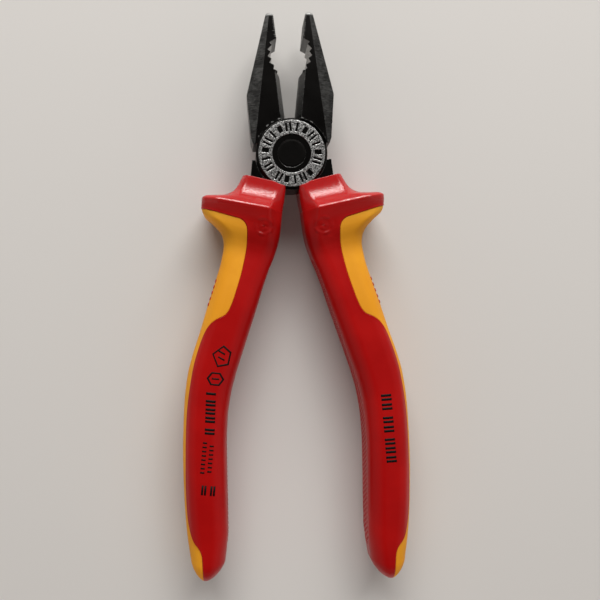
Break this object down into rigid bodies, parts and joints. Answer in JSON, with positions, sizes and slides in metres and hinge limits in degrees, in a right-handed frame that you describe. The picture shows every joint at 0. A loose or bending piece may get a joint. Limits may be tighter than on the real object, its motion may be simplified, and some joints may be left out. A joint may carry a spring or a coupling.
{
  "type": "insulated combination pliers",
  "caption": "Insulated combination pliers: two lapped steel levers on a rivet, with flat serrated tips, toothed pipe grip, wire cutter and guarded two-colour grips.",
  "frame": {"origin": "on the rivet's axis, in the plane of the joint's flat back face", "axes": "+Z out of the joint's front face along the rivet's axis, +Y towards the tips of the jaws, +X towards the handle of the front lever; the pliers lie opened by 12.8 degrees"},
  "size_m": [0.0712, 0.1765, 0.0216],
  "materials": {
    "lever_steel": "black oxidised forged tool steel with polished joint ring and brushed facets",
    "rivet_steel": "black oxidised steel",
    "red_grip": "semi-matt moulded red plastic",
    "yellow_grip": "matt fine-grained soft yellow plastic"
  },
  "bodies": {
    "front_half": {"front_lever": "lever_steel", "pivot_rivet": "rivet_steel", "right_grip_body": "red_grip", "right_soft_zone": "yellow_grip"},
    "back_half": {"back_lever": "lever_steel", "left_grip_body": "red_grip", "left_soft_zone": "yellow_grip"}
  },
  "joints": [
    {"name": "pliers_opening", "type": "hinge", "parent": "front_half", "child": "back_half", "pos_m": [0, 0, 0.00575], "axis": [0, 0, -1], "range_deg": [-12.8, 22]}
  ]
}
